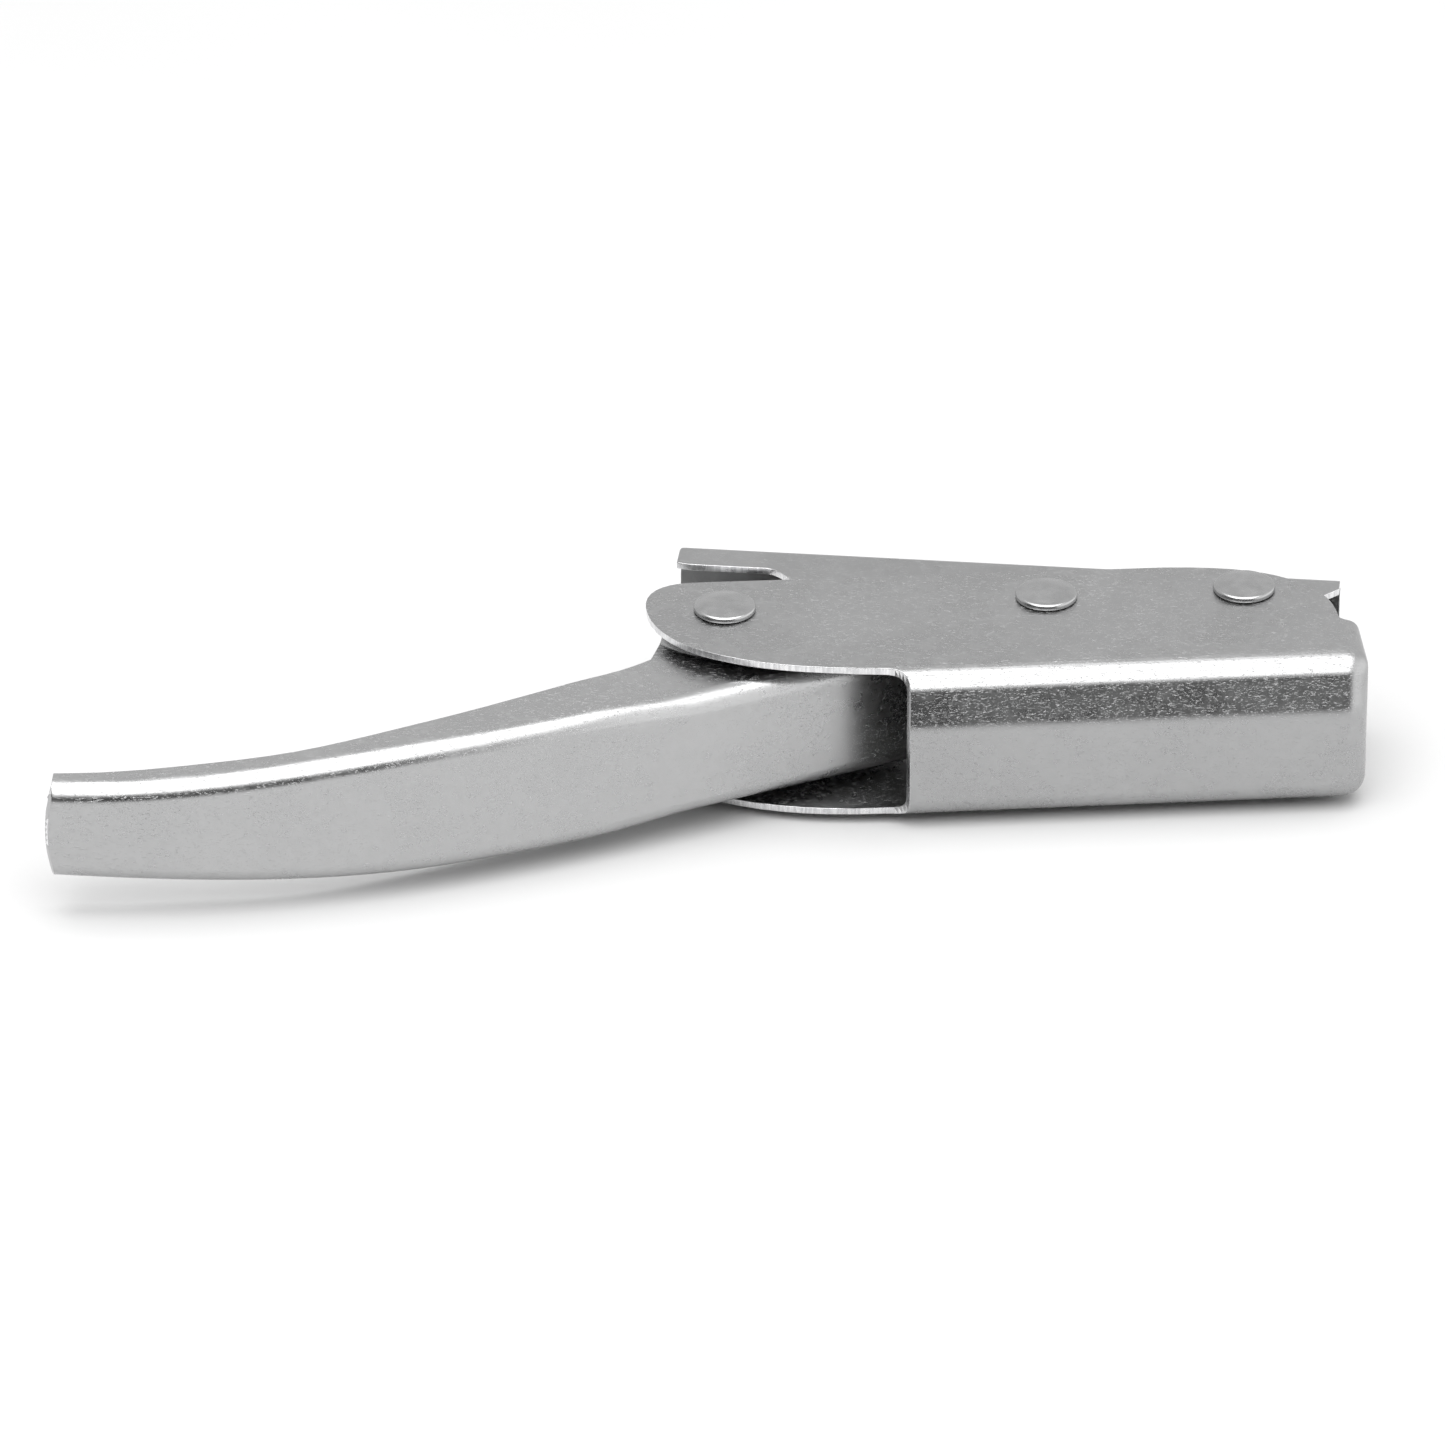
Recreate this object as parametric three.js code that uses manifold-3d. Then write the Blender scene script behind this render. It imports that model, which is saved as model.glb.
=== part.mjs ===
// Toggle bolt latch: three nested pressed-steel channels on three through rivets,
// with a spring-loaded latch hook inside. Millimetres, +Z up along the rivets.
// The origin is the middle of the base channel's back face, and +Y points out of that face.

import * as THREE from 'three';
import { mergeVertices } from 'three/addons/utils/BufferGeometryUtils.js';
import { RoundedBoxGeometry } from 'three/addons/geometries/RoundedBoxGeometry.js';
import Module from 'manifold-3d';

const wasm = await Module();
wasm.setup();

// ---------------------------------------------------------------- driving dimensions

const SHEET = 1.2;              // pressed sheet thickness
const GAP = 0.3;                // running gap between nested or turned pieces
const FAR = 60;                 // reach of a cutting block past the piece it cuts
const DEG = Math.PI / 180;

// rivets
const SHANK_RADIUS = 3.0;
const BORE_RADIUS = SHANK_RADIUS + GAP;
const HEAD_RADIUS = 5.2;
const HEAD_RISE = 1.5;
const HEAD_RIM = 0.45;
const HEAD_SEAT = 0.15;         // gap under a rivet head
const SLEEVE_RADIUS = 4.5;

// cover channel, in a frame with its origin on the base rivet and X along the rivet line
const COVER_HEIGHT = 28;
const COVER_BEND = 4;           // outer bend radius
const COVER_FRONT = -25;        // outer face of the web
const COVER_END = 18.3;         // outer face of the closed end
const COVER_CUT = -58.4;        // left edge of the web
const COVER_LEFT = -100.4;      // left end of the cheeks
const END_WALL_BACK = -10.8;    // back edge of the closed end
const HOOK_RIVET_X = -33.3;
const LEVER_RIVET_X = -87.3;
const COVER_OPEN = 10.97;       // angle between the cover and the base as built

// base channel, in a frame with its origin at the left end of its back face
const BASE_LENGTH = 111.6;
const BASE_HEIGHT = COVER_HEIGHT - 2 * SHEET - 2 * GAP;
const BASE_BEND = 2.2;
const BASE_DEPTH = 17.2;        // flange depth
const BASE_NOTCH = 7.5;         // flange depth left beside the lever's ears
const BASE_RIVET = new THREE.Vector2(95.9, -9.2);
const BASE_STEP_START = 15.3;   // where the flange edge begins to step forward
const BASE_STEP_END = 29.9;
const BASE_CUT_START = 99.5;    // where the flange edge begins to slope back at the right end
const BASE_END_DEPTH = 2.4;     // flange depth left past the right end
const BASE_CORNER = 3;          // rounding of the left end's corners
const BASE_END_CORNER = 1.4;    // rounding of the right end's corners
const HOOK_RIVET_ON_BASE = new THREE.Vector2(63.2, -15.2);
const HOOK_NOTCH_RADIUS = SLEEVE_RADIUS + 2;
const BASE_HOLE_RADIUS = 2.6;
const BASE_HOLES = [[10.9, 0], [38.9, 6], [38.9, -6], [102.4, 0]];   // length and height
const WINDOW_LEFT = 67.9;         // window for the hook's nose
const WINDOW_RIGHT = 83.9;
const WINDOW_HEIGHT = 6;

// hand lever, in a frame with its origin on the lever rivet and X along its tail
const LEVER_OPEN = 20.73;       // angle between the lever and the cover as built
const LEVER_HEIGHT = 24;        // handle
const LEVER_TAIL_HEIGHT = 21.8; // tail, which passes between the base channel's flanges
const LEVER_TIP_HEIGHT = 17.6;
const LEVER_BEND = 3.5;
const LEVER_WEB = 21.4;         // web's outer face in front of the rivet
const LEVER_TAIL = 27;          // tail end, right of the rivet
const LEVER_TIP = 126.2;        // handle end, along the web
const LEVER_TURN = 31;          // how far the handle curves towards the base, in degrees
const LEVER_TURN_START = 12;
const LEVER_TIP_CROWN = 1.4;    // rise of the rounded free end
const LEVER_TIP_TRIM = 2.8;     // how far the flanges are trimmed back at their rear edge
const LEVER_TIP_DEPTH = 6.4;    // depth behind the web at which they are trimmed that far
const LEVER_TAIL_BACK = -10;    // back edge of the tail's flanges
// distance along the web and depth of the flanges behind it
const LEVER_DEPTHS = [[16.2, 16.2], [26, 13.6], [44, 11.2], [66, 8.1], [84, 6.2], [104, 6.2],
  [LEVER_TIP + 3, 5]];
const EAR_HEIGHT = BASE_HEIGHT;
const EAR_LOBE = new THREE.Vector2(3.9, 3.3);
const EAR_LOBE_RADIUS = 11.2;
const EAR_DISH = new THREE.Vector2(0.5, 1.5);   // middle of the raised boss that each ear is formed into
const DISH_FOOT = 13.0;         // radius of the boss at its foot
const DISH_TOP = 11.0;
const DISH_INNER_TOP = 0.7;     // how much smaller the boss is on its inner side
const DISH_INNER_FOOT = 0.6;
const DISH_JOIN = 0.8;          // overlap of the boss with the flat ear

// latch hook and springs
const HOOK_THICKNESS = 3;
const HOOK_HEEL = new THREE.Vector2(-28.7, -8.9);
const HOOK_HEEL_RADIUS = 1.9;
const WIRE = 1.2;
const COIL_RADIUS = SLEEVE_RADIUS + GAP + WIRE / 2;
const BASE_SPRING_LEAN = 6.4;          // how far the rear leg leans towards the base's web, in degrees
const BASE_SPRING_LEGS = [22.6, 16];   // along the cover's web, and along the base's web
const HOOK_SPRING_LEGS = [12, 22.6];   // along the hook's arm, and along the cover's web

// ---------------------------------------------------------------- solids

function toSolid(geometry) {
  const bare = geometry.clone();
  bare.deleteAttribute('normal');
  bare.deleteAttribute('uv');
  const merged = mergeVertices(bare, 1e-5);
  return new wasm.Manifold(new wasm.Mesh({
    numProp: 3,
    vertProperties: new Float32Array(merged.attributes.position.array),
    triVerts: new Uint32Array(merged.index.array),
  }));
}

function toGeometry(solid) {
  const mesh = solid.getMesh();
  const geometry = new THREE.BufferGeometry();
  geometry.setAttribute('position', new THREE.BufferAttribute(mesh.vertProperties, 3));
  geometry.setIndex(new THREE.BufferAttribute(mesh.triVerts, 1));
  geometry.computeVertexNormals();
  return geometry;
}

/** Upright prism over a plan outline. */
function prism(shape, low, high, curveSegments = 10) {
  const options = { depth: high - low, bevelEnabled: false, curveSegments };
  return toSolid(new THREE.ExtrudeGeometry(shape, options).translate(0, 0, low));
}

function block(x0, x1, y0, y1, z0, z1) {
  const box = new THREE.BoxGeometry(x1 - x0, y1 - y0, z1 - z0);
  return toSolid(box.translate((x0 + x1) / 2, (y0 + y1) / 2, (z0 + z1) / 2));
}

function roundedBlock(x0, x1, y0, y1, halfHeight, radius) {
  const box = new RoundedBoxGeometry(x1 - x0, y1 - y0, 2 * halfHeight, 5, radius);
  return toSolid(box.translate((x0 + x1) / 2, (y0 + y1) / 2, 0));
}

/** Upright cylinder. */
function post(x, y, radius, low, high, sides = 24) {
  const cylinder = new THREE.CylinderGeometry(radius, radius, high - low, sides);
  return toSolid(cylinder.rotateX(Math.PI / 2).translate(x, y, (low + high) / 2));
}

/** Hole along Y through the base channel's web. */
function webHole(x, z, radius) {
  const cylinder = new THREE.CylinderGeometry(radius, radius, 8, 16);
  return toSolid(cylinder.translate(x, 0, z));
}

/** Solid of revolution about Z from a closed profile of (radius, height) points. */
function turned(profile, sides = 40) {
  return new THREE.LatheGeometry(profile.map(([r, z]) => new THREE.Vector2(r, z)), sides)
    .rotateX(Math.PI / 2);
}

/** U section: X is height, Y runs from the web's outer face to the flange edges. */
function channelSection(height, depth, bend) {
  const half = height / 2;
  const inner = bend - SHEET;
  const shape = new THREE.Shape();
  shape.moveTo(-half, depth);
  shape.lineTo(-half, bend);
  shape.absarc(-half + bend, bend, bend, Math.PI, 1.5 * Math.PI);
  shape.lineTo(half - bend, 0);
  shape.absarc(half - bend, bend, bend, 1.5 * Math.PI, 2 * Math.PI);
  shape.lineTo(half, depth);
  shape.lineTo(half - SHEET, depth);
  shape.lineTo(half - SHEET, bend);
  shape.absarc(half - bend, bend, inner, 0, -0.5 * Math.PI, true);
  shape.lineTo(-half + bend, SHEET);
  shape.absarc(-half + bend, bend, inner, 1.5 * Math.PI, Math.PI, true);
  shape.lineTo(-half + SHEET, depth);
  shape.closePath();
  return shape;
}

function smooth(value, from, to) {
  return THREE.MathUtils.smoothstep(value, from, to);
}

// ---------------------------------------------------------------- cover channel

function coverOutline() {
  const shape = new THREE.Shape();
  shape.moveTo(COVER_CUT, COVER_FRONT - 1);
  shape.lineTo(COVER_END + 1, COVER_FRONT - 1);
  shape.lineTo(COVER_END + 1, END_WALL_BACK + 1);
  shape.bezierCurveTo(17.3, END_WALL_BACK + 0.8, 15.8, END_WALL_BACK - 1.6, 14.6, END_WALL_BACK);
  // rear right corner, which clears the base as the cover swings
  shape.bezierCurveTo(14.6, -6, 13.4, -1.6, 9.6, 1.9);
  shape.bezierCurveTo(5.2, 6, -0.5, 8.3, -12, 9);
  shape.lineTo(-92, 10.2);
  // rounded left end
  shape.bezierCurveTo(-97.5, 10.2, COVER_LEFT, 7, COVER_LEFT, 2);
  shape.bezierCurveTo(COVER_LEFT, -4.5, -97.5, -10, -92, -14);
  shape.bezierCurveTo(-84.5, -19, -76, -21.6, -62.5, -22.2);
  shape.bezierCurveTo(-60.2, -22.4, COVER_CUT, -23.4, COVER_CUT, COVER_FRONT - 1);
  return shape;
}

function coverChannel() {
  const half = COVER_HEIGHT / 2;
  const outside = roundedBlock(-FAR * 2, COVER_END, COVER_FRONT, FAR, half, COVER_BEND);
  const inside = roundedBlock(-FAR * 2 - 20, COVER_END - SHEET, COVER_FRONT + SHEET, FAR + 20,
    half - SHEET, COVER_BEND - SHEET);
  let cover = outside.subtract(inside).intersect(prism(coverOutline(), -half - 1, half + 1, 8));
  for (const x of [0, HOOK_RIVET_X, LEVER_RIVET_X]) {
    cover = cover.subtract(post(x, 0, SHANK_RADIUS + HEAD_SEAT, -half - 1, half + 1));
  }
  return toGeometry(cover);
}

// ---------------------------------------------------------------- base channel

/** What is cut from the flanges: everything in front of their front edge. */
function baseFlangeCut() {
  const hook = HOOK_RIVET_ON_BASE;
  const shape = new THREE.Shape();
  shape.moveTo(-5, -BASE_NOTCH + 1.5);
  shape.bezierCurveTo(-1, -BASE_NOTCH + 1.2, 0.5, -BASE_NOTCH, 3, -BASE_NOTCH);
  shape.lineTo(BASE_STEP_START, -BASE_NOTCH);
  // the edge steps forward beside the lever's ears
  shape.bezierCurveTo(18.5, -BASE_NOTCH, 20.4, -14.7, BASE_STEP_END, -BASE_DEPTH);
  shape.lineTo(hook.x - HOOK_NOTCH_RADIUS, -BASE_DEPTH);
  shape.lineTo(hook.x - HOOK_NOTCH_RADIUS, hook.y);
  shape.absarc(hook.x, hook.y, HOOK_NOTCH_RADIUS, Math.PI, 0, true);
  shape.lineTo(hook.x + HOOK_NOTCH_RADIUS, -BASE_DEPTH);
  shape.lineTo(BASE_CUT_START, -BASE_DEPTH);
  shape.lineTo(BASE_LENGTH + 2, -BASE_END_DEPTH);
  shape.lineTo(BASE_LENGTH + 2, -FAR);
  shape.lineTo(-5, -FAR);
  shape.closePath();
  return shape;
}

/** Rounds a rear corner of the flanges. */
function baseCornerCut(x, side, radius) {
  const shape = new THREE.Shape();
  shape.moveTo(x, -radius);
  shape.quadraticCurveTo(x, 0, x - side * radius, 0);
  shape.lineTo(x - side * radius, 5);
  shape.lineTo(x + side * 5, 5);
  shape.lineTo(x + side * 5, -radius);
  shape.closePath();
  return shape;
}

/** Rounds a corner of the web at the left end, seen along Y. */
function webCornerCut(side) {
  const top = BASE_HEIGHT / 2 - BASE_BEND;
  const shape = new THREE.Shape();
  shape.moveTo(-1, top);
  shape.lineTo(-1, top - BASE_CORNER);
  shape.lineTo(0, top - BASE_CORNER);
  shape.quadraticCurveTo(0, top, BASE_CORNER, top);
  shape.closePath();
  const depth = BASE_BEND + 1;
  const cut = new THREE.ExtrudeGeometry(shape, { depth, bevelEnabled: false, curveSegments: 8 });
  // outline height to Z, thickness from the web's back face forwards
  cut.rotateX(Math.PI / 2).translate(0, 1, 0);
  if (side < 0) cut.rotateX(Math.PI).translate(0, 2 - depth, 0);
  return toSolid(cut);
}

function baseChannel() {
  const half = BASE_HEIGHT / 2;
  const section = channelSection(BASE_HEIGHT, BASE_DEPTH + 4, BASE_BEND);
  const bar = new THREE.ExtrudeGeometry(section, {
    depth: BASE_LENGTH, bevelEnabled: false, curveSegments: 6,
  });
  // section height to Z, section depth to -Y, length to X
  bar.applyMatrix4(new THREE.Matrix4().makeBasis(
    new THREE.Vector3(0, 0, 1), new THREE.Vector3(0, -1, 0), new THREE.Vector3(1, 0, 0)));
  let base = toSolid(bar).subtract(prism(baseFlangeCut(), -half - 1, half + 1, 8));
  for (const side of [-1, 1]) {
    const low = side > 0 ? half - BASE_BEND : -half - 1;
    const high = side > 0 ? half + 1 : -half + BASE_BEND;
    base = base.subtract(prism(baseCornerCut(0, -1, BASE_CORNER), low, high));
    base = base.subtract(prism(baseCornerCut(BASE_LENGTH, 1, BASE_END_CORNER), low, high));
    base = base.subtract(webCornerCut(side));
  }
  base = base.subtract(post(BASE_RIVET.x, BASE_RIVET.y, BORE_RADIUS, -half - 1, half + 1));
  base = base.subtract(block(WINDOW_LEFT, WINDOW_RIGHT, -4, 4, -WINDOW_HEIGHT / 2, WINDOW_HEIGHT / 2));
  for (const [x, z] of BASE_HOLES) {
    base = base.subtract(webHole(x, z, BASE_HOLE_RADIUS));
  }
  return toGeometry(base);
}

// ---------------------------------------------------------------- hand lever

function leverHeading(u) {
  const t = Math.max(0, (u - LEVER_TURN_START) / (LEVER_TIP - LEVER_TURN_START));
  return LEVER_TURN * DEG * t ** 1.7;
}

/** Points of the web's outer face every millimetre from the tail end to the handle end. */
const leverPath = (() => {
  const path = [];
  const at = new THREE.Vector2(0, -LEVER_WEB);
  for (let u = 0; u <= LEVER_TIP + 4; u += 1) {
    path.push({ at: at.clone(), turn: leverHeading(u) });
    const middle = leverHeading(u + 0.5);
    at.x -= Math.cos(middle);
    at.y += Math.sin(middle);
  }
  return path;
})();

/** Point at a distance u along the web and v behind its outer face. */
function leverPoint(u, v) {
  if (u <= 0) return new THREE.Vector2(-u, v - LEVER_WEB);
  const index = Math.min(Math.floor(u), leverPath.length - 2);
  const mix = u - index;
  const from = leverPath[index];
  const to = leverPath[index + 1];
  const turn = THREE.MathUtils.lerp(from.turn, to.turn, mix);
  const at = from.at.clone().lerp(to.at, mix);
  return new THREE.Vector2(at.x + v * Math.sin(turn), at.y + v * Math.cos(turn));
}

function leverHeight(u) {
  const grip = THREE.MathUtils.lerp(LEVER_TAIL_HEIGHT, LEVER_HEIGHT, smooth(u, 14, 34));
  return THREE.MathUtils.lerp(grip, LEVER_TIP_HEIGHT, smooth(u, 58, 128));
}

/** Back edge of the lever's flanges, from the tail end round the ears to the handle end. */
function leverOutline() {
  const shape = new THREE.Shape();
  const front = -LEVER_WEB - 2;
  shape.moveTo(LEVER_TAIL, front);
  shape.lineTo(LEVER_TAIL, LEVER_TAIL_BACK - 2);
  shape.quadraticCurveTo(LEVER_TAIL, LEVER_TAIL_BACK, LEVER_TAIL - 2, LEVER_TAIL_BACK);
  shape.lineTo(22, LEVER_TAIL_BACK);
  shape.bezierCurveTo(18, LEVER_TAIL_BACK, 16, -5, EAR_LOBE.x + EAR_LOBE_RADIUS, EAR_LOBE.y);
  shape.absarc(EAR_LOBE.x, EAR_LOBE.y, EAR_LOBE_RADIUS, 0, Math.PI * 0.94);
  const depths = new THREE.SplineCurve(LEVER_DEPTHS.map(([u, v]) => new THREE.Vector2(u, v)));
  for (const station of depths.getPoints(24)) {
    const edge = leverPoint(station.x, station.y);
    shape.lineTo(edge.x, edge.y);
  }
  for (let u = LEVER_TIP + 3; u > 0; u -= 6) {
    const edge = leverPoint(u, -2);
    shape.lineTo(edge.x, edge.y);
  }
  shape.lineTo(0, front);
  shape.closePath();
  return shape;
}

/** Raised boss round the rivet, which lifts the ear to the cover's cheek. */
function earDish(side) {
  const top = EAR_HEIGHT / 2;
  const foot = LEVER_TAIL_HEIGHT / 2;
  const dish = turned([
    [0, top - SHEET], [DISH_TOP - DISH_INNER_TOP, top - SHEET],
    [DISH_FOOT - DISH_INNER_FOOT, foot - SHEET], [DISH_FOOT + DISH_JOIN, foot - SHEET],
    [DISH_FOOT + DISH_JOIN, foot], [DISH_FOOT, foot],
    [DISH_TOP, top], [0, top],
  ], 36);
  if (side < 0) dish.rotateX(Math.PI);
  return toSolid(dish.translate(EAR_DISH.x, EAR_DISH.y, 0));
}

function handLever() {
  const section = channelSection(LEVER_HEIGHT, 40, LEVER_BEND);
  const length = LEVER_TAIL + LEVER_TIP + 2;
  const bar = new THREE.ExtrudeGeometry(section, {
    depth: length, steps: 44, bevelEnabled: false, curveSegments: 6,
  });
  const position = bar.attributes.position;
  for (let i = 0; i < position.count; i += 1) {
    const u = position.getZ(i) - LEVER_TAIL;
    const height = position.getX(i);
    const place = leverPoint(u, position.getY(i));
    const lift = Math.sign(height) * (leverHeight(u) - LEVER_HEIGHT) / 2;
    position.setXYZ(i, place.x, place.y, height + lift);
  }
  const half = LEVER_HEIGHT / 2;
  let lever = toSolid(bar);
  for (const side of [-1, 1]) {
    const middle = side * (LEVER_TAIL_HEIGHT / 2 - SHEET / 2);
    lever = lever.subtract(post(EAR_DISH.x, EAR_DISH.y, DISH_FOOT, middle - 1.6, middle + 1.6, 36));
    lever = lever.add(earDish(side));
  }
  lever = lever.intersect(prism(leverOutline(), -half - 2, half + 2, 8));
  lever = lever.subtract(post(0, 0, BORE_RADIUS, -half - 1, half + 1));
  return toGeometry(lever.intersect(leverTipCut()).subtract(leverTipTrim()));
}

/** Trims the flanges obliquely at the free end, from the web's inner face backwards. */
function leverTipTrim() {
  const tip = leverPoint(LEVER_TIP, 0);
  const start = tip.x + LEVER_TIP_CROWN;
  const shape = new THREE.Shape();
  shape.moveTo(start - FAR, tip.y + SHEET);
  shape.lineTo(start, tip.y + SHEET);
  shape.lineTo(start + LEVER_TIP_TRIM, tip.y + LEVER_TIP_DEPTH);
  shape.lineTo(start + LEVER_TIP_TRIM, tip.y + LEVER_TIP_DEPTH + 2);
  shape.lineTo(start - FAR, tip.y + LEVER_TIP_DEPTH + 2);
  shape.closePath();
  return prism(shape, -LEVER_HEIGHT, LEVER_HEIGHT);
}

/** Keeps everything up to the shallow rounded free end. */
function leverTipCut() {
  const tip = leverPoint(LEVER_TIP, 0);
  const chord = LEVER_TIP_HEIGHT / 2;
  const radius = (chord * chord + LEVER_TIP_CROWN * LEVER_TIP_CROWN) / (2 * LEVER_TIP_CROWN);
  const spread = Math.asin((chord + 1) / radius);
  const shape = new THREE.Shape();
  shape.moveTo(FAR * 3, -FAR);
  shape.lineTo(FAR * 3, FAR);
  shape.lineTo(radius * (1 - Math.cos(spread)), FAR);
  shape.absarc(radius, 0, radius, Math.PI - spread, Math.PI + spread);
  shape.lineTo(radius * (1 - Math.cos(spread)), -FAR);
  shape.closePath();
  const keep = new THREE.ExtrudeGeometry(shape, { depth: 2 * FAR, bevelEnabled: false, curveSegments: 10 });
  // outline height to Z, thickness across Y
  keep.translate(0, 0, -FAR).rotateX(Math.PI / 2);
  keep.translate(tip.x, 0, 0);
  return toSolid(keep);
}

// ---------------------------------------------------------------- rivets and sleeves

function rivet() {
  const seat = COVER_HEIGHT / 2 + HEAD_SEAT;
  const profile = [[0, -seat - HEAD_RISE]];
  const steps = 4;
  const dome = (k) => [HEAD_RADIUS * Math.sin(k), HEAD_RIM + (HEAD_RISE - HEAD_RIM) * Math.cos(k)];
  for (let i = 1; i <= steps; i += 1) {
    const [r, z] = dome((i / steps) * Math.PI / 2);
    profile.push([r, -seat - z]);
  }
  profile.push([HEAD_RADIUS - 0.15, -seat], [SHANK_RADIUS, -seat], [SHANK_RADIUS, seat]);
  profile.push([HEAD_RADIUS - 0.15, seat]);
  for (let i = steps; i >= 1; i -= 1) {
    const [r, z] = dome((i / steps) * Math.PI / 2);
    profile.push([r, seat + z]);
  }
  profile.push([0, seat + HEAD_RISE]);
  return turned(profile, 28);
}

function sleeve(low, high) {
  return turned([
    [BORE_RADIUS, low], [SLEEVE_RADIUS, low], [SLEEVE_RADIUS, high], [BORE_RADIUS, high],
    [BORE_RADIUS, low],
  ], 24);
}

// ---------------------------------------------------------------- latch hook

/** Flat rocker on the hook rivet: an arm under the lever's tail, and a nose by the window. */
function latchHook() {
  const shape = new THREE.Shape();
  shape.absarc(HOOK_HEEL.x, HOOK_HEEL.y, HOOK_HEEL_RADIUS, 0.8 * Math.PI, 1.75 * Math.PI);
  shape.bezierCurveTo(-24.5, -7.5, -20, -4.5, -12, -4.8);
  shape.quadraticCurveTo(-6, -6.8, 0, -6.8);
  shape.quadraticCurveTo(10, -6.5, 17.5, 1);
  shape.lineTo(19.9, 10.3);
  shape.quadraticCurveTo(18.2, 11.4, 16.1, 11);
  shape.lineTo(12.5, 5.6);
  shape.quadraticCurveTo(7, 7.2, 0, 6.8);
  shape.quadraticCurveTo(-14, 5.5, -27, -5);
  shape.closePath();
  const plate = prism(shape, -HOOK_THICKNESS / 2, HOOK_THICKNESS / 2);
  return toGeometry(plate.subtract(post(0, 0, BORE_RADIUS, -5, 5)));
}

// ---------------------------------------------------------------- springs

/** Torsion spring: a coil about Z with a straight leg at each end, leaving along a tangent. */
class SpringCurve extends THREE.Curve {
  constructor(low, high, startAngle, turns, startLeg, endLeg) {
    super();
    Object.assign(this, { low, high, startAngle, turns, startLeg, endLeg });
    this.coil = 2 * Math.PI * COIL_RADIUS * turns;
    this.total = startLeg + this.coil + endLeg;
  }

  onCoil(along) {
    const angle = this.startAngle + along / COIL_RADIUS;
    const height = THREE.MathUtils.lerp(this.low, this.high, along / this.coil);
    return new THREE.Vector3(COIL_RADIUS * Math.cos(angle), COIL_RADIUS * Math.sin(angle), height);
  }

  getPoint(t, target = new THREE.Vector3()) {
    const along = t * this.total - this.startLeg;
    const held = THREE.MathUtils.clamp(along, 0, this.coil);
    const angle = this.startAngle + held / COIL_RADIUS;
    const past = along - held;
    const tangent = new THREE.Vector3(-Math.sin(angle), Math.cos(angle), 0);
    return target.copy(this.onCoil(held)).addScaledVector(tangent, past);
  }
}

function torsionSpring(curve) {
  const section = new THREE.Shape();
  section.absarc(0, 0, WIRE / 2, 0, 2 * Math.PI);
  return new THREE.ExtrudeGeometry(section, {
    extrudePath: curve, steps: 72, curveSegments: 3, bevelEnabled: false,
  });
}

// ---------------------------------------------------------------- assembly

function metal(colour, roughness) {
  return new THREE.MeshStandardMaterial({ color: colour, roughness, metalness: 1 });
}

function piece(name, geometry, material) {
  const mesh = new THREE.Mesh(geometry, material);
  mesh.name = name;
  return mesh;
}

function placed(group, x, y, degrees) {
  group.position.set(x, y, 0);
  group.rotation.z = degrees * DEG;
  return group;
}

const latch = new THREE.Group();
const baseFrame = placed(new THREE.Group(), -BASE_LENGTH / 2, 0, 0);
baseFrame.add(piece('base_channel', baseChannel(), metal(0x9c9fa2, 0.34)));
latch.add(baseFrame);

const coverFrame = placed(new THREE.Group(), BASE_RIVET.x, BASE_RIVET.y, COVER_OPEN);
coverFrame.add(piece('cover_channel', coverChannel(), metal(0xa4a7aa, 0.32)));
baseFrame.add(coverFrame);

for (const [name, x] of [['base_rivet', 0], ['hook_rivet', HOOK_RIVET_X], ['lever_rivet', LEVER_RIVET_X]]) {
  const mesh = piece(name, rivet(), metal(0xb0b3b6, 0.28));
  mesh.position.x = x;
  coverFrame.add(mesh);
}

const earInside = EAR_HEIGHT / 2 - SHEET - GAP;
const cheekInside = COVER_HEIGHT / 2 - SHEET - GAP;
const hookFace = HOOK_THICKNESS / 2 + GAP;
for (const [name, x, low, high] of [
  ['base_sleeve', 0, -earInside, earInside],
  ['hook_sleeve_upper', HOOK_RIVET_X, hookFace, cheekInside],
  ['hook_sleeve_lower', HOOK_RIVET_X, -cheekInside, -hookFace],
  ['lever_sleeve', LEVER_RIVET_X, -earInside, earInside],
]) {
  const mesh = piece(name, sleeve(low, high), metal(0x8f9296, 0.4));
  mesh.position.x = x;
  coverFrame.add(mesh);
}

// one leg on the cover's web, the other along the base channel's web
const baseTurns = 4 + (90 - COVER_OPEN - BASE_SPRING_LEAN) / 360;
const baseSpring = new SpringCurve(4.3, 10, 0, baseTurns, ...BASE_SPRING_LEGS);
coverFrame.add(piece('base_spring', torsionSpring(baseSpring), metal(0x6d7073, 0.35)));
// one leg on the cover's web, the other along the hook's arm
const hookSpring = new SpringCurve(2.6, 6.6, 0.52 * Math.PI, 3.48, ...HOOK_SPRING_LEGS);
const hookSpringMesh = piece('hook_spring', torsionSpring(hookSpring), metal(0x6d7073, 0.35));
hookSpringMesh.position.x = HOOK_RIVET_X;
coverFrame.add(hookSpringMesh);

const hookFrame = placed(new THREE.Group(), HOOK_RIVET_X, 0, 0);
hookFrame.add(piece('latch_hook', latchHook(), metal(0x85888c, 0.38)));
coverFrame.add(hookFrame);

const leverFrame = placed(new THREE.Group(), LEVER_RIVET_X, 0, LEVER_OPEN);
leverFrame.add(piece('hand_lever', handLever(), metal(0xa9acaf, 0.32)));
coverFrame.add(leverFrame);

export default latch;
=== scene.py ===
"""Looks of the toggle bolt latch: zinc-plated pressed steel on a pale studio floor.

Metres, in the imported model's frame: +X along the base, +Y out of its back face, +Z up along
the rivets.
"""

import math

import bmesh
import bpy
from mathutils import Matrix, Vector
from mathutils.bvhtree import BVHTree


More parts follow.
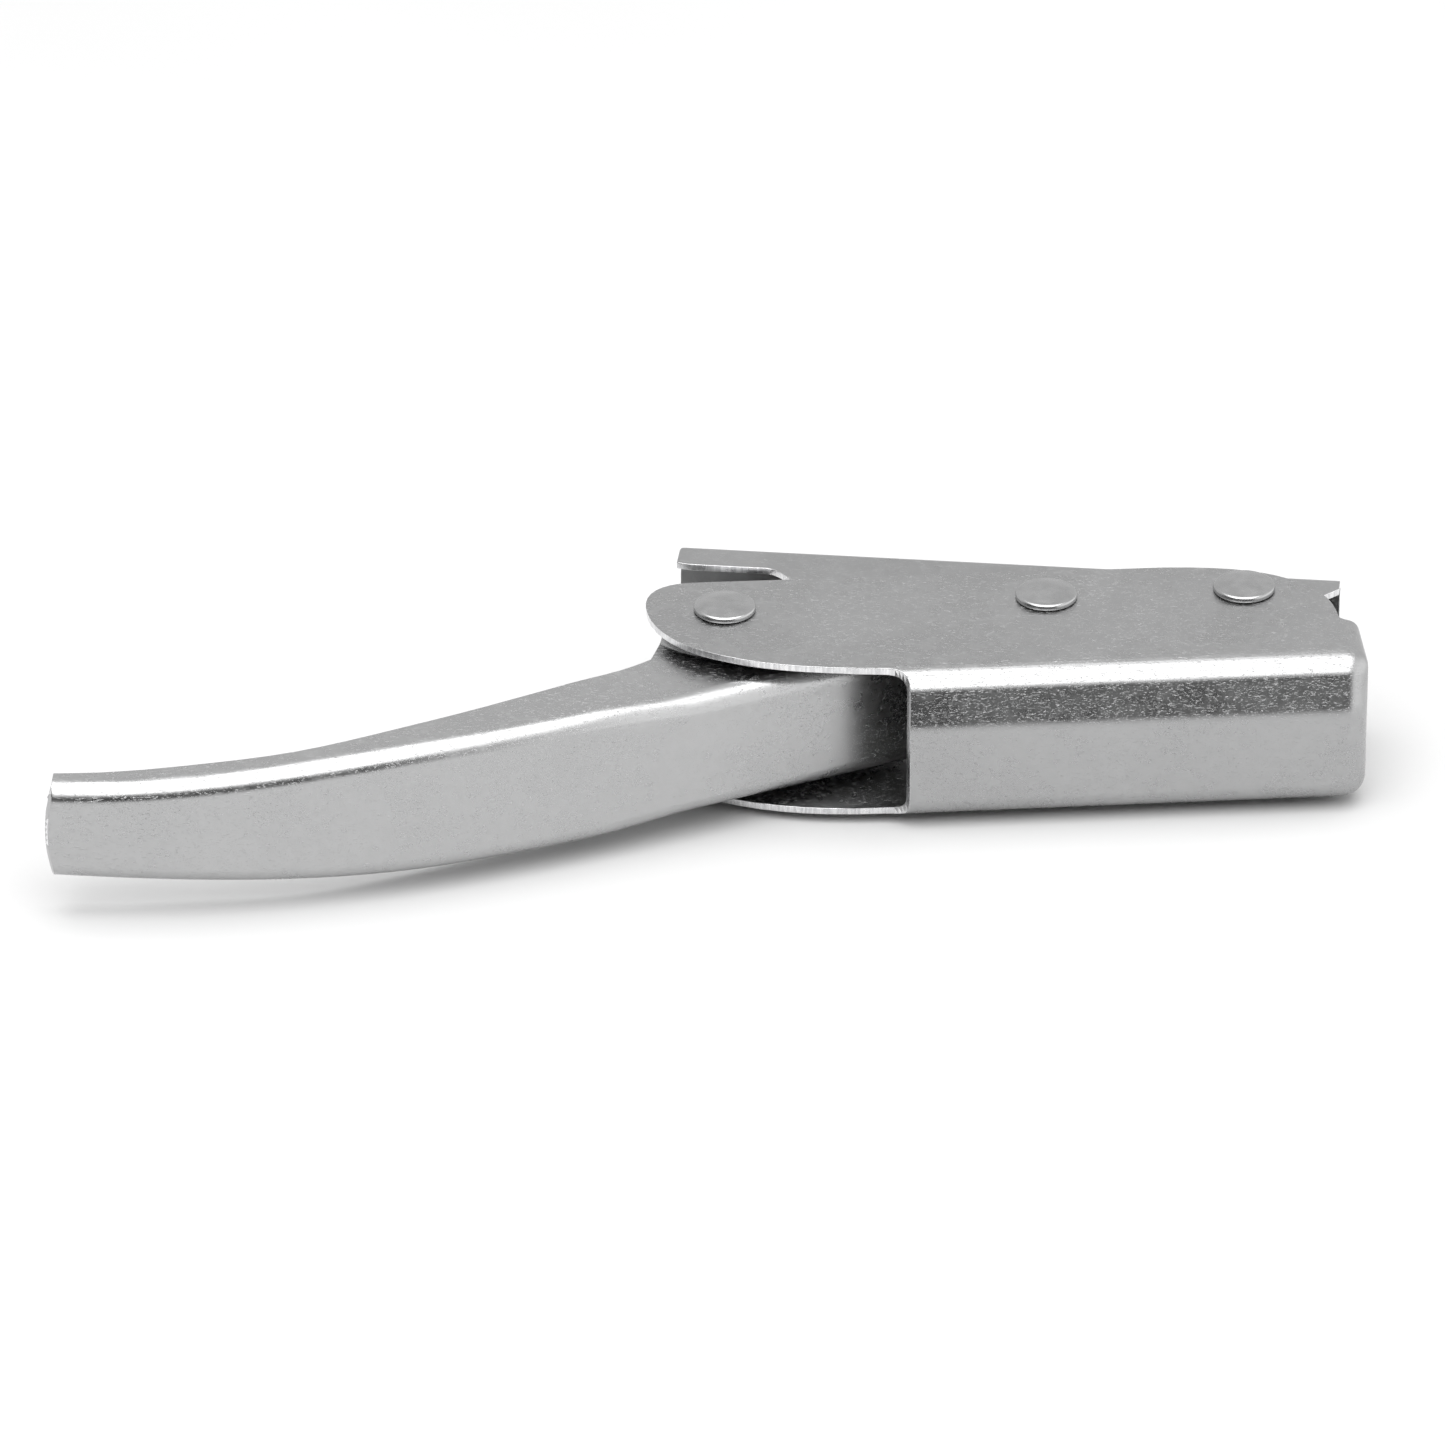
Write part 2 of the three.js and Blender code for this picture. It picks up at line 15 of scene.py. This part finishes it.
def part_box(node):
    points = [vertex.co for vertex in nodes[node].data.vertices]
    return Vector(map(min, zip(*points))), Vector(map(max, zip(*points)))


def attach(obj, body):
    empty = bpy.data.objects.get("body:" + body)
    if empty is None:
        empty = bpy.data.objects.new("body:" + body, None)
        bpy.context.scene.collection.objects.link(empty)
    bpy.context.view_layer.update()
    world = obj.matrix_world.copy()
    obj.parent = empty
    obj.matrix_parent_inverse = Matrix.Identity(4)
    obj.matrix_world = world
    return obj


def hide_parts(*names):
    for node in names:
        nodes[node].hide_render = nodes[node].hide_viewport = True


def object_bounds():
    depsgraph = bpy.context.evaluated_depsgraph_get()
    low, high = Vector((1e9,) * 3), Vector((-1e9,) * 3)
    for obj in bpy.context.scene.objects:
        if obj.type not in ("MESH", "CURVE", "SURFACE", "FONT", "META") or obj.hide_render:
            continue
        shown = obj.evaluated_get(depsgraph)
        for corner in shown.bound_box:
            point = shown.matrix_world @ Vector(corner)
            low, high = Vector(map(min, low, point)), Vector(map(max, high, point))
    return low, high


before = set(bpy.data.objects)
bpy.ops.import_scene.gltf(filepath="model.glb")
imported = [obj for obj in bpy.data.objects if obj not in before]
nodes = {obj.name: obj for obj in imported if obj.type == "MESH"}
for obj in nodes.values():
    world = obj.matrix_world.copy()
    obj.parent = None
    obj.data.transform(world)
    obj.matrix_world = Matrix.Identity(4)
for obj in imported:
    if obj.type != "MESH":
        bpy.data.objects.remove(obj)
cad_low, cad_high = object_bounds()

MM = 0.001
SHEET = 1.2 * MM

# ------------------------------------------------------------------ camera

LOOK_AT = Vector((-0.0446, -0.0386, -0.0004))
VIEW_TURN = math.radians(6.197)      # about Z, from straight along +Y
VIEW_ELEVATION = math.radians(28.8)
VIEW_DISTANCE = 2.0
VIEW_WIDTH = 240.83 * MM             # width seen at the look-at point
SENSOR = 36.0                        # millimetres, as Blender counts it
CLIP_NEAR, CLIP_FAR = 0.05, 40


def make_camera():
    data = bpy.data.cameras.new("camera")
    data.sensor_width = SENSOR
    data.lens = SENSOR * VIEW_DISTANCE / VIEW_WIDTH
    data.clip_start, data.clip_end = CLIP_NEAR, CLIP_FAR
    camera = bpy.data.objects.new("camera", data)
    bpy.context.scene.collection.objects.link(camera)
    back = Vector((
        math.sin(VIEW_TURN) * math.cos(VIEW_ELEVATION),
        -math.cos(VIEW_TURN) * math.cos(VIEW_ELEVATION),
        math.sin(VIEW_ELEVATION),
    ))
    camera.location = LOOK_AT + back * VIEW_DISTANCE
    camera.rotation_euler = (math.pi / 2 - VIEW_ELEVATION, 0, VIEW_TURN)
    bpy.context.scene.camera = camera


# ------------------------------------------------------------------ node helpers


class Nodes:
    """Short calls for building one node tree."""

    def __init__(self, tree):
        self.tree = tree
        self.tree.nodes.clear()

    def add(self, kind, **settings):
        node = self.tree.nodes.new(kind)
        for key, value in settings.items():
            setattr(node, key, value)
        return node

    def link(self, source, target):
        self.tree.links.new(source, target)

    def place(self, stretch=(1, 1, 1), turn=(0, 0, 0)):
        """The object's own coordinates, stretched and turned."""
        coordinates = self.add("ShaderNodeTexCoord")
        mapping = self.add("ShaderNodeMapping")
        mapping.inputs["Scale"].default_value = stretch
        mapping.inputs["Rotation"].default_value = turn
        self.link(coordinates.outputs["Object"], mapping.inputs["Vector"])
        return mapping.outputs["Vector"]

    def noise(self, vector, scale, detail=2.0, roughness=0.5, distortion=0.0):
        noise = self.add("ShaderNodeTexNoise")
        noise.inputs["Scale"].default_value = scale
        noise.inputs["Detail"].default_value = detail
        noise.inputs["Roughness"].default_value = roughness
        noise.inputs["Distortion"].default_value = distortion
        self.link(vector, noise.inputs["Vector"])
        return noise.outputs["Fac"]

    def remap(self, value, low, high, to_low, to_high):
        node = self.add("ShaderNodeMapRange", interpolation_type="SMOOTHSTEP")
        node.inputs["From Min"].default_value = low
        node.inputs["From Max"].default_value = high
        node.inputs["To Min"].default_value = to_low
        node.inputs["To Max"].default_value = to_high
        self.link(value, node.inputs["Value"])
        return node.outputs["Result"]

    def math(self, operation, first, second):
        node = self.add("ShaderNodeMath", operation=operation)
        for socket, value in zip(node.inputs, (first, second)):
            if isinstance(value, (int, float)):
                socket.default_value = value
            else:
                self.link(value, socket)
        return node.outputs["Value"]

    def blend(self, factor, first, second):
        """A plain number between two others."""
        node = self.add("ShaderNodeMix", data_type="FLOAT")
        self.link(factor, node.inputs["Factor"])
        for socket, value in ((node.inputs["A"], first), (node.inputs["B"], second)):
            if isinstance(value, (int, float)):
                socket.default_value = value
            else:
                self.link(value, socket)
        return node.outputs["Result"]

    def mix(self, factor, first, second):
        """A colour between two others."""
        node = self.add("ShaderNodeMix", data_type="RGBA")
        self.link(factor, node.inputs["Factor"])
        for socket, value in ((node.inputs["A"], first), (node.inputs["B"], second)):
            if isinstance(value, tuple):
                socket.default_value = (*value, 1)
            else:
                self.link(value, socket)
        return node.outputs["Result"]

    def bump(self, height, strength, distance, normal=None):
        node = self.add("ShaderNodeBump")
        node.inputs["Strength"].default_value = strength
        node.inputs["Distance"].default_value = distance
        self.link(height, node.inputs["Height"])
        if normal is not None:
            self.link(normal, node.inputs["Normal"])
        return node.outputs["Normal"]


class Surface(Nodes):
    """The node tree of one material."""

    def __init__(self, name):
        self.material = bpy.data.materials.new(name)
        self.material.use_nodes = True
        super().__init__(self.material.node_tree)

    def finish(self, colour, roughness, normal, metallic=1.0):
        shader = self.add("ShaderNodeBsdfPrincipled")
        shader.inputs["Metallic"].default_value = metallic
        self.link(colour, shader.inputs["Base Color"])
        self.link(roughness, shader.inputs["Roughness"])
        self.link(normal, shader.inputs["Normal"])
        output = self.add("ShaderNodeOutputMaterial")
        self.link(shader.outputs["BSDF"], output.inputs["Surface"])
        return self.material


# ------------------------------------------------------------------ materials

# Even noises, in waves per metre, from the largest pattern to the finest.
SHEET_CLOUD, SHEET_MOTTLE, SHEET_SPECK = 55, 420, 3300
EDGE_WAVE = 350
RIVET_CLOUD, RIVET_DENTS, RIVET_SPECK = 260, 900, 3600
WIRE_OXIDE = 500
HOOK_CLOUD, HOOK_TUMBLE = 180, 1500
PAPER_CLOUD, PAPER_FIBRE = 6, 900

# Stretched noises, in waves per metre along X, Y and Z.
ROLLED_GRAIN = (60, 900, 900)
SHEAR_MARKS = (2600, 2600, 350)
DRAW_LINES = (1800, 1800, 6000)

HAIRLINES = (                 # stretch and direction of the handling scratches
    ((700, 5200, 5200), (0.0, 0.5, 0.3)),
    ((900, 6100, 6100), (0.4, -0.7, 1.1)),
    ((800, 4700, 4700), (-0.6, 0.9, 2.2)),
    ((1100, 5600, 5600), (0.9, 0.3, -0.8)),
)

# The parts of a noise's values over which it changes something.
MOST = (0.3, 0.7)
MIDDLE = (0.35, 0.65)
UPPER = (0.35, 0.7)
SCRATCH_PEAKS = (0.68, 0.76)
PIT_PEAKS = (0.70, 0.82)
DIRT_PEAKS = (0.66, 0.8)

CLOUD_SHARE, MOTTLE_SHARE = 0.6, 0.4
PIT_COVER, PIT_SHADE = 0.25, 0.7
DIRT_COVER, DIRT_SHADE = 0.4, 0.6
GRAIN_ROUGHENS, SCRATCH_ROUGHENS = 0.05, 0.10

# Bumps: strength and depth.
MOTTLE_BUMP = (0.2, 0.006 * MM)
GRAIN_BUMP = (0.35, 0.008 * MM)
SPECK_BUMP = (0.6, 0.008 * MM)
SCRATCH_BUMP = (0.9, 0.035 * MM)
SHEAR_BUMP = (0.5, 0.015 * MM)
WAVE_BUMP = (0.5, 0.04 * MM)
DENT_BUMP = (0.4, 0.02 * MM)
DIRT_BUMP = (0.4, 0.006 * MM)
DRAW_BUMP = (0.4, 0.01 * MM)
TUMBLE_BUMP = (0.4, 0.014 * MM)
FIBRE_BUMP = (0.1, 0.02 * MM)

# Roughness at the two ends of the noise that drives it.
EDGE_GLOSS = (0.20, 0.34)
WIRE_GLOSS = (0.26, 0.42)
HOOK_GLOSS = (0.30, 0.48)
PAPER_GLOSS = (0.85, 0.95)

WEB_CROWN = (1.6 * MM, 2.94 * MM, 0.34)     # where the fall starts, its reach, its slope
CROWN_JOIN = (0.98, 1.02)                   # where the curve hands over to the straight


def crowned(n, start, reach, slope):
    """A web that falls away towards its top bend.

    The slope grows from nothing over the reach, and stays the same above it.
    """
    split = n.add("ShaderNodeSeparateXYZ")
    n.link(n.place(), split.inputs["Vector"])
    past = n.math("MAXIMUM", n.math("SUBTRACT", split.outputs["Z"], start), 0.0)
    curved = n.math("DIVIDE", n.math("MULTIPLY", past, past), 2 * reach)
    straight = n.math("SUBTRACT", past, reach / 2)
    low, high = CROWN_JOIN
    fall = n.blend(n.remap(past, reach * low, reach * high, 0, 1), curved, straight)
    return n.bump(n.math("MULTIPLY", fall, -slope), 1.0, 1.0)


def darker(colour, share):
    return tuple(channel * share for channel in colour)


def plated_steel(name, light, dark, gloss, scratches=1.0, crown=None):
    """Bright zinc over rolled sheet: soft cloudy tone, rolling grain, specks and hairlines."""
    n = Surface(name)
    plain = n.place()
    cloud = n.noise(plain, SHEET_CLOUD, detail=3, roughness=0.55)
    mottle = n.noise(plain, SHEET_MOTTLE, detail=3, roughness=0.6)
    speck = n.noise(plain, SHEET_SPECK, detail=2, roughness=0.6)
    rolled = n.noise(n.place(ROLLED_GRAIN), 1.0, detail=4, roughness=0.6)

    marks = None
    for stretch, turn in HAIRLINES:
        streak = n.noise(n.place(stretch, turn), 1.0, detail=1, distortion=0.6)
        line = n.remap(streak, *SCRATCH_PEAKS, 0.0, scratches)
        marks = line if marks is None else n.math("MAXIMUM", marks, line)

    soft = n.math("MULTIPLY", cloud, CLOUD_SHARE)
    tone = n.math("ADD", soft, n.math("MULTIPLY", mottle, MOTTLE_SHARE))
    colour = n.mix(n.remap(tone, *MOST, 0, 1), dark, light)
    pits = n.remap(speck, *PIT_PEAKS, 0.0, PIT_COVER)
    colour = n.mix(pits, colour, darker(dark, PIT_SHADE))

    rough = n.remap(tone, *MOST, *gloss)
    rough = n.math("ADD", rough, n.math("MULTIPLY", rolled, GRAIN_ROUGHENS))
    rough = n.math("ADD", rough, n.math("MULTIPLY", marks, SCRATCH_ROUGHENS))

    normal = n.bump(mottle, *MOTTLE_BUMP, crowned(n, *crown) if crown else None)
    normal = n.bump(rolled, *GRAIN_BUMP, normal)
    normal = n.bump(speck, *SPECK_BUMP, normal)
    normal = n.bump(marks, *SCRATCH_BUMP, normal)
    return n.finish(colour, rough, normal)


def sheared_edge(name, light, dark):
    """The cut edge of a sheet, with fine shear marks along Z. Its colour is bare steel made much
    lighter than the plating, partly painted highlight for the light that the edge reflects.
    """
    n = Surface(name)
    shear = n.noise(n.place(SHEAR_MARKS), 1.0, detail=3)
    wave = n.noise(n.place(), EDGE_WAVE, detail=2)
    colour = n.mix(n.remap(shear, *UPPER, 0, 1), dark, light)
    rough = n.remap(wave, *MOST, *EDGE_GLOSS)
    normal = n.bump(shear, *SHEAR_BUMP)
    normal = n.bump(wave, *WAVE_BUMP, normal)
    return n.finish(colour, rough, normal)


def turned_steel(name, light, dark, gloss):
    """Formed rivet or tube steel: small dents, specks of dirt and a cloudy plating."""
    n = Surface(name)
    plain = n.place()
    cloud = n.noise(plain, RIVET_CLOUD, detail=3, roughness=0.6)
    dents = n.noise(plain, RIVET_DENTS, detail=2)
    speck = n.noise(plain, RIVET_SPECK, detail=2)
    colour = n.mix(n.remap(cloud, *MIDDLE, 0, 1), dark, light)
    dirt = n.remap(speck, *DIRT_PEAKS, 0, DIRT_COVER)
    colour = n.mix(dirt, colour, darker(dark, DIRT_SHADE))
    rough = n.remap(dents, *MOST, *gloss)
    normal = n.bump(dents, *DENT_BUMP)
    normal = n.bump(speck, *DIRT_BUMP, normal)
    return n.finish(colour, rough, normal)


def drawn_wire(name, light, dark):
    """Spring wire with fine draw lines and a thin dark oxide."""
    n = Surface(name)
    draw = n.noise(n.place(DRAW_LINES), 1.0, detail=3)
    oxide = n.noise(n.place(), WIRE_OXIDE, detail=3)
    colour = n.mix(n.remap(oxide, *UPPER, 0, 1), dark, light)
    rough = n.remap(draw, *MOST, *WIRE_GLOSS)
    return n.finish(colour, rough, n.bump(draw, *DRAW_BUMP))


def hardened_steel(name, light, dark):
    """Blanked and tumbled hook steel, darker and duller than the plated channels."""
    n = Surface(name)
    plain = n.place()
    cloud = n.noise(plain, HOOK_CLOUD, detail=4, roughness=0.6)
    tumble = n.noise(plain, HOOK_TUMBLE, detail=3, roughness=0.65)
    colour = n.mix(n.remap(cloud, *MIDDLE, 0, 1), dark, light)
    rough = n.remap(tumble, *MOST, *HOOK_GLOSS)
    return n.finish(colour, rough, n.bump(tumble, *TUMBLE_BUMP))


PAPER_DARK, PAPER_LIGHT = (0.62, 0.62, 0.62), (0.65, 0.65, 0.65)


def studio_floor(name):
    """Pale seamless paper."""
    n = Surface(name)
    fibre = n.noise(n.place(), PAPER_FIBRE, detail=3)
    cloud = n.noise(n.place(), PAPER_CLOUD, detail=2)
    colour = n.mix(n.remap(cloud, *MOST, 0, 1), PAPER_DARK, PAPER_LIGHT)
    rough = n.remap(fibre, *MOST, *PAPER_GLOSS)
    return n.finish(colour, rough, n.bump(fibre, *FIBRE_BUMP), metallic=0.0)


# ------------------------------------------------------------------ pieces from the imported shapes

FACET = math.radians(24)      # edges sharper than this are real edges
CREASE = FACET * 1.6          # and after rounding, only these stay unsmoothed
FLAT = math.radians(0.4)      # facets closer than this in angle are one face
WELD = 0.004 * MM
RAY_INSET = 0.01 * MM         # how far under a face its ray starts
BACKED = 1.35 * SHEET         # a sheet's other side is nearer than this
EDGE_STEPS = 2                # facets across a rounded edge
WIRE_LEVELS = 2               # subdivisions of a spring
PRESSED_EASE = 0.14 * MM      # width of a rounded edge on a pressing
WORKED_EASE = 0.1 * MM        # on a sleeve
HOOK_EASE = 0.25 * MM         # on the tumbled hook


def copied_mesh(node):
    """A new mesh with the node's shape, welded."""
    mesh = bmesh.new()
    mesh.from_mesh(nodes[node].data)
    bmesh.ops.remove_doubles(mesh, verts=mesh.verts, dist=WELD)
    return mesh


def mark_cut_edges(mesh):
    """Gives material 1 to the faces that aren't backed by the sheet's other side."""
    tree = BVHTree.FromBMesh(mesh)
    for face in mesh.faces:
        start = face.calc_center_median() - face.normal * RAY_INSET
        distance = tree.ray_cast(start, -face.normal)[3]
        backed = distance is not None and distance < BACKED
        face.material_index = 0 if backed else 1


def soften_edges(mesh, width):
    """Joins flat facets, then rounds every real edge a little."""
    bmesh.ops.dissolve_limit(
        mesh, angle_limit=FLAT, verts=mesh.verts, edges=mesh.edges, delimit={"MATERIAL"},
    )
    sharp = [e for e in mesh.edges if e.is_manifold and e.calc_face_angle(0) > FACET]
    bmesh.ops.bevel(
        mesh, geom=sharp, offset=width, offset_type="OFFSET", segments=EDGE_STEPS, profile=0.5,
        affect="EDGES", clamp_overlap=False, material=-1, loop_slide=True,
    )


def keep_in_box(mesh, node):
    """Brings back any corner that rounding pushed past the node's box."""
    low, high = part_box(node)
    for vertex in mesh.verts:
        vertex.co = [min(max(c, a), b) for c, a, b in zip(vertex.co, low, high)]


def add_piece(name, mesh, body, materials, replaced):
    """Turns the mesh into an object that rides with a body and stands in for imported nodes."""
    data = bpy.data.meshes.new(name)
    mesh.normal_update()
    mesh.to_mesh(data)
    mesh.free()
    data.shade_smooth()
    data.set_sharp_from_angle(angle=CREASE)
    for material in materials:
        data.materials.append(material)
    made = bpy.data.objects.new(name, data)
    bpy.context.scene.collection.objects.link(made)
    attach(made, body)
    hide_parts(*replaced)
    return made


def pressed_piece(node, body, face, edge, width=PRESSED_EASE):
    """A sheet pressing: plated faces and bare cut edges, with every edge eased."""
    mesh = copied_mesh(node)
    mark_cut_edges(mesh)
    soften_edges(mesh, width)
    keep_in_box(mesh, node)
    made = add_piece(f"{node}_pressed", mesh, body, (face, edge), (node,))
    weighted = made.modifiers.new("weighted", "WEIGHTED_NORMAL")
    weighted.keep_sharp = True
    return made


def solid_piece(node, body, material, width=WORKED_EASE):
    """A worked piece of one material, with its edges eased."""
    mesh = copied_mesh(node)
    soften_edges(mesh, width)
    keep_in_box(mesh, node)
    return add_piece(f"{node}_worked", mesh, body, (material,), (node,))


def smoothed_piece(node, body, material):
    """A wire form, made rounder than its packed facets."""
    made = add_piece(f"{node}_wire", copied_mesh(node), body, (material,), (node,))
    finer = made.modifiers.new("finer", "SUBSURF")
    finer.levels = finer.render_levels = WIRE_LEVELS
    return made


# ------------------------------------------------------------------ rivets

HEAD_RADIUS = 5.2 * MM
HEAD_RISE = 1.5 * MM
SHANK_RADIUS = 3.0 * MM
SEAT = 14.15 * MM             # underside of a head, from the middle of the latch
HEAD_CROWN = 0.50 * MM        # fall of the flat dome from its middle to its shoulder
HEAD_SHOULDER = 4.55 * MM
HEAD_RIM = 0.40 * MM
HEAD_STEPS = 10               # points along the dome, and again round the shoulder
DOME_POWER = 2.2
BROW_POWER = 0.8
RIM_EASE = ((0.0, 0.16), (0.05, 0.05), (0.16, 0.0))     # mm in from the rim and up from the seat
RIVET_STEPS = 72
SPIN_WELD = 0.001 * MM


def rivet_profile():
    """(radius, height) from the crown of one head to the underside beside the shank."""
    top = SEAT + HEAD_RISE
    points = [(0.0, top)]
    for i in range(1, HEAD_STEPS + 1):
        part = i / HEAD_STEPS
        points.append((HEAD_SHOULDER * part, top - HEAD_CROWN * part ** DOME_POWER))
    brow = top - HEAD_CROWN - SEAT - HEAD_RIM
    for i in range(1, HEAD_STEPS + 1):
        turn = i / HEAD_STEPS * math.pi / 2
        radius = HEAD_SHOULDER + (HEAD_RADIUS - HEAD_SHOULDER) * math.sin(turn)
        points.append((radius, SEAT + HEAD_RIM + brow * math.cos(turn) ** BROW_POWER))
    points += [(HEAD_RADIUS - inward * MM, SEAT + rise * MM) for inward, rise in RIM_EASE]
    points.append((SHANK_RADIUS, SEAT))
    return points


def headed_rivet(node, material):
    """A rivet with two low domed heads, turned from its profile."""
    low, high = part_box(node)
    middle = (low + high) / 2
    upper = rivet_profile()
    outline = upper + [(radius, -height) for radius, height in reversed(upper)]
    mesh = bmesh.new()
    points = [mesh.verts.new((radius, 0, height)) for radius, height in outline]
    edges = [mesh.edges.new(pair) for pair in zip(points, points[1:])]
    bmesh.ops.spin(
        mesh, geom=points + edges, cent=(0, 0, 0), axis=(0, 0, 1), angle=2 * math.pi,
        steps=RIVET_STEPS, use_merge=True,
    )
    bmesh.ops.remove_doubles(mesh, verts=mesh.verts, dist=SPIN_WELD)
    bmesh.ops.recalc_face_normals(mesh, faces=mesh.faces)
    bmesh.ops.transform(mesh, matrix=Matrix.Translation(middle), verts=mesh.verts)
    return add_piece(f"{node}_headed", mesh, "cover", (material,), (node,))


# ------------------------------------------------------------------ studio

FLOOR_DROP = 0.05 * MM
FLOOR_REACH = 6.0


def make_floor(material):
    mesh = bpy.data.meshes.new("floor")
    z = cad_low.z - FLOOR_DROP
    signs = ((-1, -1), (1, -1), (1, 1), (-1, 1))
    mesh.from_pydata([(x * FLOOR_REACH, y * FLOOR_REACH, z) for x, y in signs], [], [(0, 1, 2, 3)])
    mesh.materials.append(material)
    floor = bpy.data.objects.new("floor", mesh)
    bpy.context.scene.collection.objects.link(floor)


def area_light(name, azimuth, elevation, distance, size, power):
    """A soft box that faces the latch. Azimuth 0 is in front of it, 90 at its pivot end."""
    data = bpy.data.lights.new(name, "AREA")
    data.shape = "RECTANGLE"
    data.size, data.size_y = size
    data.energy = power
    light = bpy.data.objects.new(name, data)
    bpy.context.scene.collection.objects.link(light)
    a, e = math.radians(azimuth), math.radians(elevation)
    away = Vector((math.sin(a) * math.cos(e), -math.cos(a) * math.cos(e), math.sin(e)))
    light.location = LOOK_AT + away * distance
    light.rotation_euler = away.to_track_quat("Z", "Y").to_euler()


ROOM_BEHIND = 0.81            # shade of the room behind the latch
ROOM_FRONT = 0.015            # near the horizon in front, where nothing is lit
ROOM_ABOVE = 0.95             # overhead, round the soft box
ROOM_SIDE = 1.50              # a pale wall past the pivot end

# The directions between which one shade gives way to the next, as parts of a unit vector.
CEILING_EDGE = (0.42, 0.62)   # upwards, in front
BACK_EDGE = (-0.45, 0.1)      # backwards
SIDE_EDGE = (0.5, 0.8)        # towards the pivot end


def make_world():
    """A pale room with a lit ceiling, an unlit front and a pale wall on the pivot end's side."""
    world = bpy.data.worlds.new("room")
    world.use_nodes = True
    n = Nodes(world.node_tree)
    coordinates = n.add("ShaderNodeTexCoord")
    split = n.add("ShaderNodeSeparateXYZ")
    n.link(coordinates.outputs["Generated"], split.inputs["Vector"])
    side, behind, up = split.outputs
    front = n.remap(up, *CEILING_EDGE, ROOM_FRONT, ROOM_ABOVE)
    in_front = n.remap(behind, *BACK_EDGE, 1.0, 0.0)
    beside = n.remap(side, *SIDE_EDGE, 0.0, 1.0)
    shade = n.blend(in_front, ROOM_BEHIND, front)
    shade = n.blend(beside, shade, ROOM_SIDE)
    background = n.add("ShaderNodeBackground")
    output = n.add("ShaderNodeOutputWorld")
    n.link(shade, background.inputs["Color"])
    n.link(background.outputs["Background"], output.inputs["Surface"])
    bpy.context.scene.world = world


# ------------------------------------------------------------------ the latch

cover_zinc = plated_steel(
    "cover_zinc", (0.43, 0.431, 0.433), (0.385, 0.386, 0.388), (0.22, 0.30), crown=WEB_CROWN,
)
# The lever's plating is lighter than the cover's, partly its own tone and partly painted light
# standing in for the brighter side light on its web.
lever_zinc_with_painted_light = plated_steel(
    "lever_zinc_with_painted_light", (0.48, 0.481, 0.483), (0.44, 0.441, 0.443), (0.22, 0.30),
)
base_zinc = plated_steel(
    "base_zinc", (0.41, 0.411, 0.413), (0.37, 0.371, 0.373), (0.24, 0.34), scratches=0.7,
)
# The cut edges' pale colour is partly a painted highlight, standing in for the light reflected off
# the sheet edges.
cut_zinc_painted_highlight = sheared_edge("cut_zinc_painted_highlight", (0.86, 0.86, 0.865), (0.62, 0.62, 0.63))
rivet_zinc = turned_steel(
    "rivet_zinc", (0.46, 0.461, 0.463), (0.40, 0.401, 0.403), (0.20, 0.30),
)
sleeve_zinc = turned_steel(
    "sleeve_zinc", (0.50, 0.505, 0.51), (0.40, 0.405, 0.41), (0.30, 0.42),
)
wire_steel = drawn_wire("wire_steel", (0.36, 0.365, 0.375), (0.20, 0.205, 0.215))
hook_steel = hardened_steel("hook_steel", (0.44, 0.445, 0.455), (0.30, 0.305, 0.315))

pressed_piece("cover_channel", "cover", cover_zinc, cut_zinc_painted_highlight)
pressed_piece("hand_lever", "lever", lever_zinc_with_painted_light, cut_zinc_painted_highlight)
pressed_piece("base_channel", "base", base_zinc, cut_zinc_painted_highlight)
for rivet_node in ("base_rivet", "hook_rivet", "lever_rivet"):
    headed_rivet(rivet_node, rivet_zinc)
for sleeve_node in ("base_sleeve", "hook_sleeve_upper", "hook_sleeve_lower", "lever_sleeve"):
    solid_piece(sleeve_node, "cover", sleeve_zinc)
for spring_node in ("base_spring", "hook_spring"):
    smoothed_piece(spring_node, "cover", wire_steel)
solid_piece("latch_hook", "hook", hook_steel, width=HOOK_EASE)

make_camera()
make_world()
make_floor(studio_floor("paper"))
area_light("overhead", azimuth=0, elevation=74, distance=1.2, size=(1.5, 1.75), power=21)
bpy.context.scene.view_settings.view_transform = "Standard"
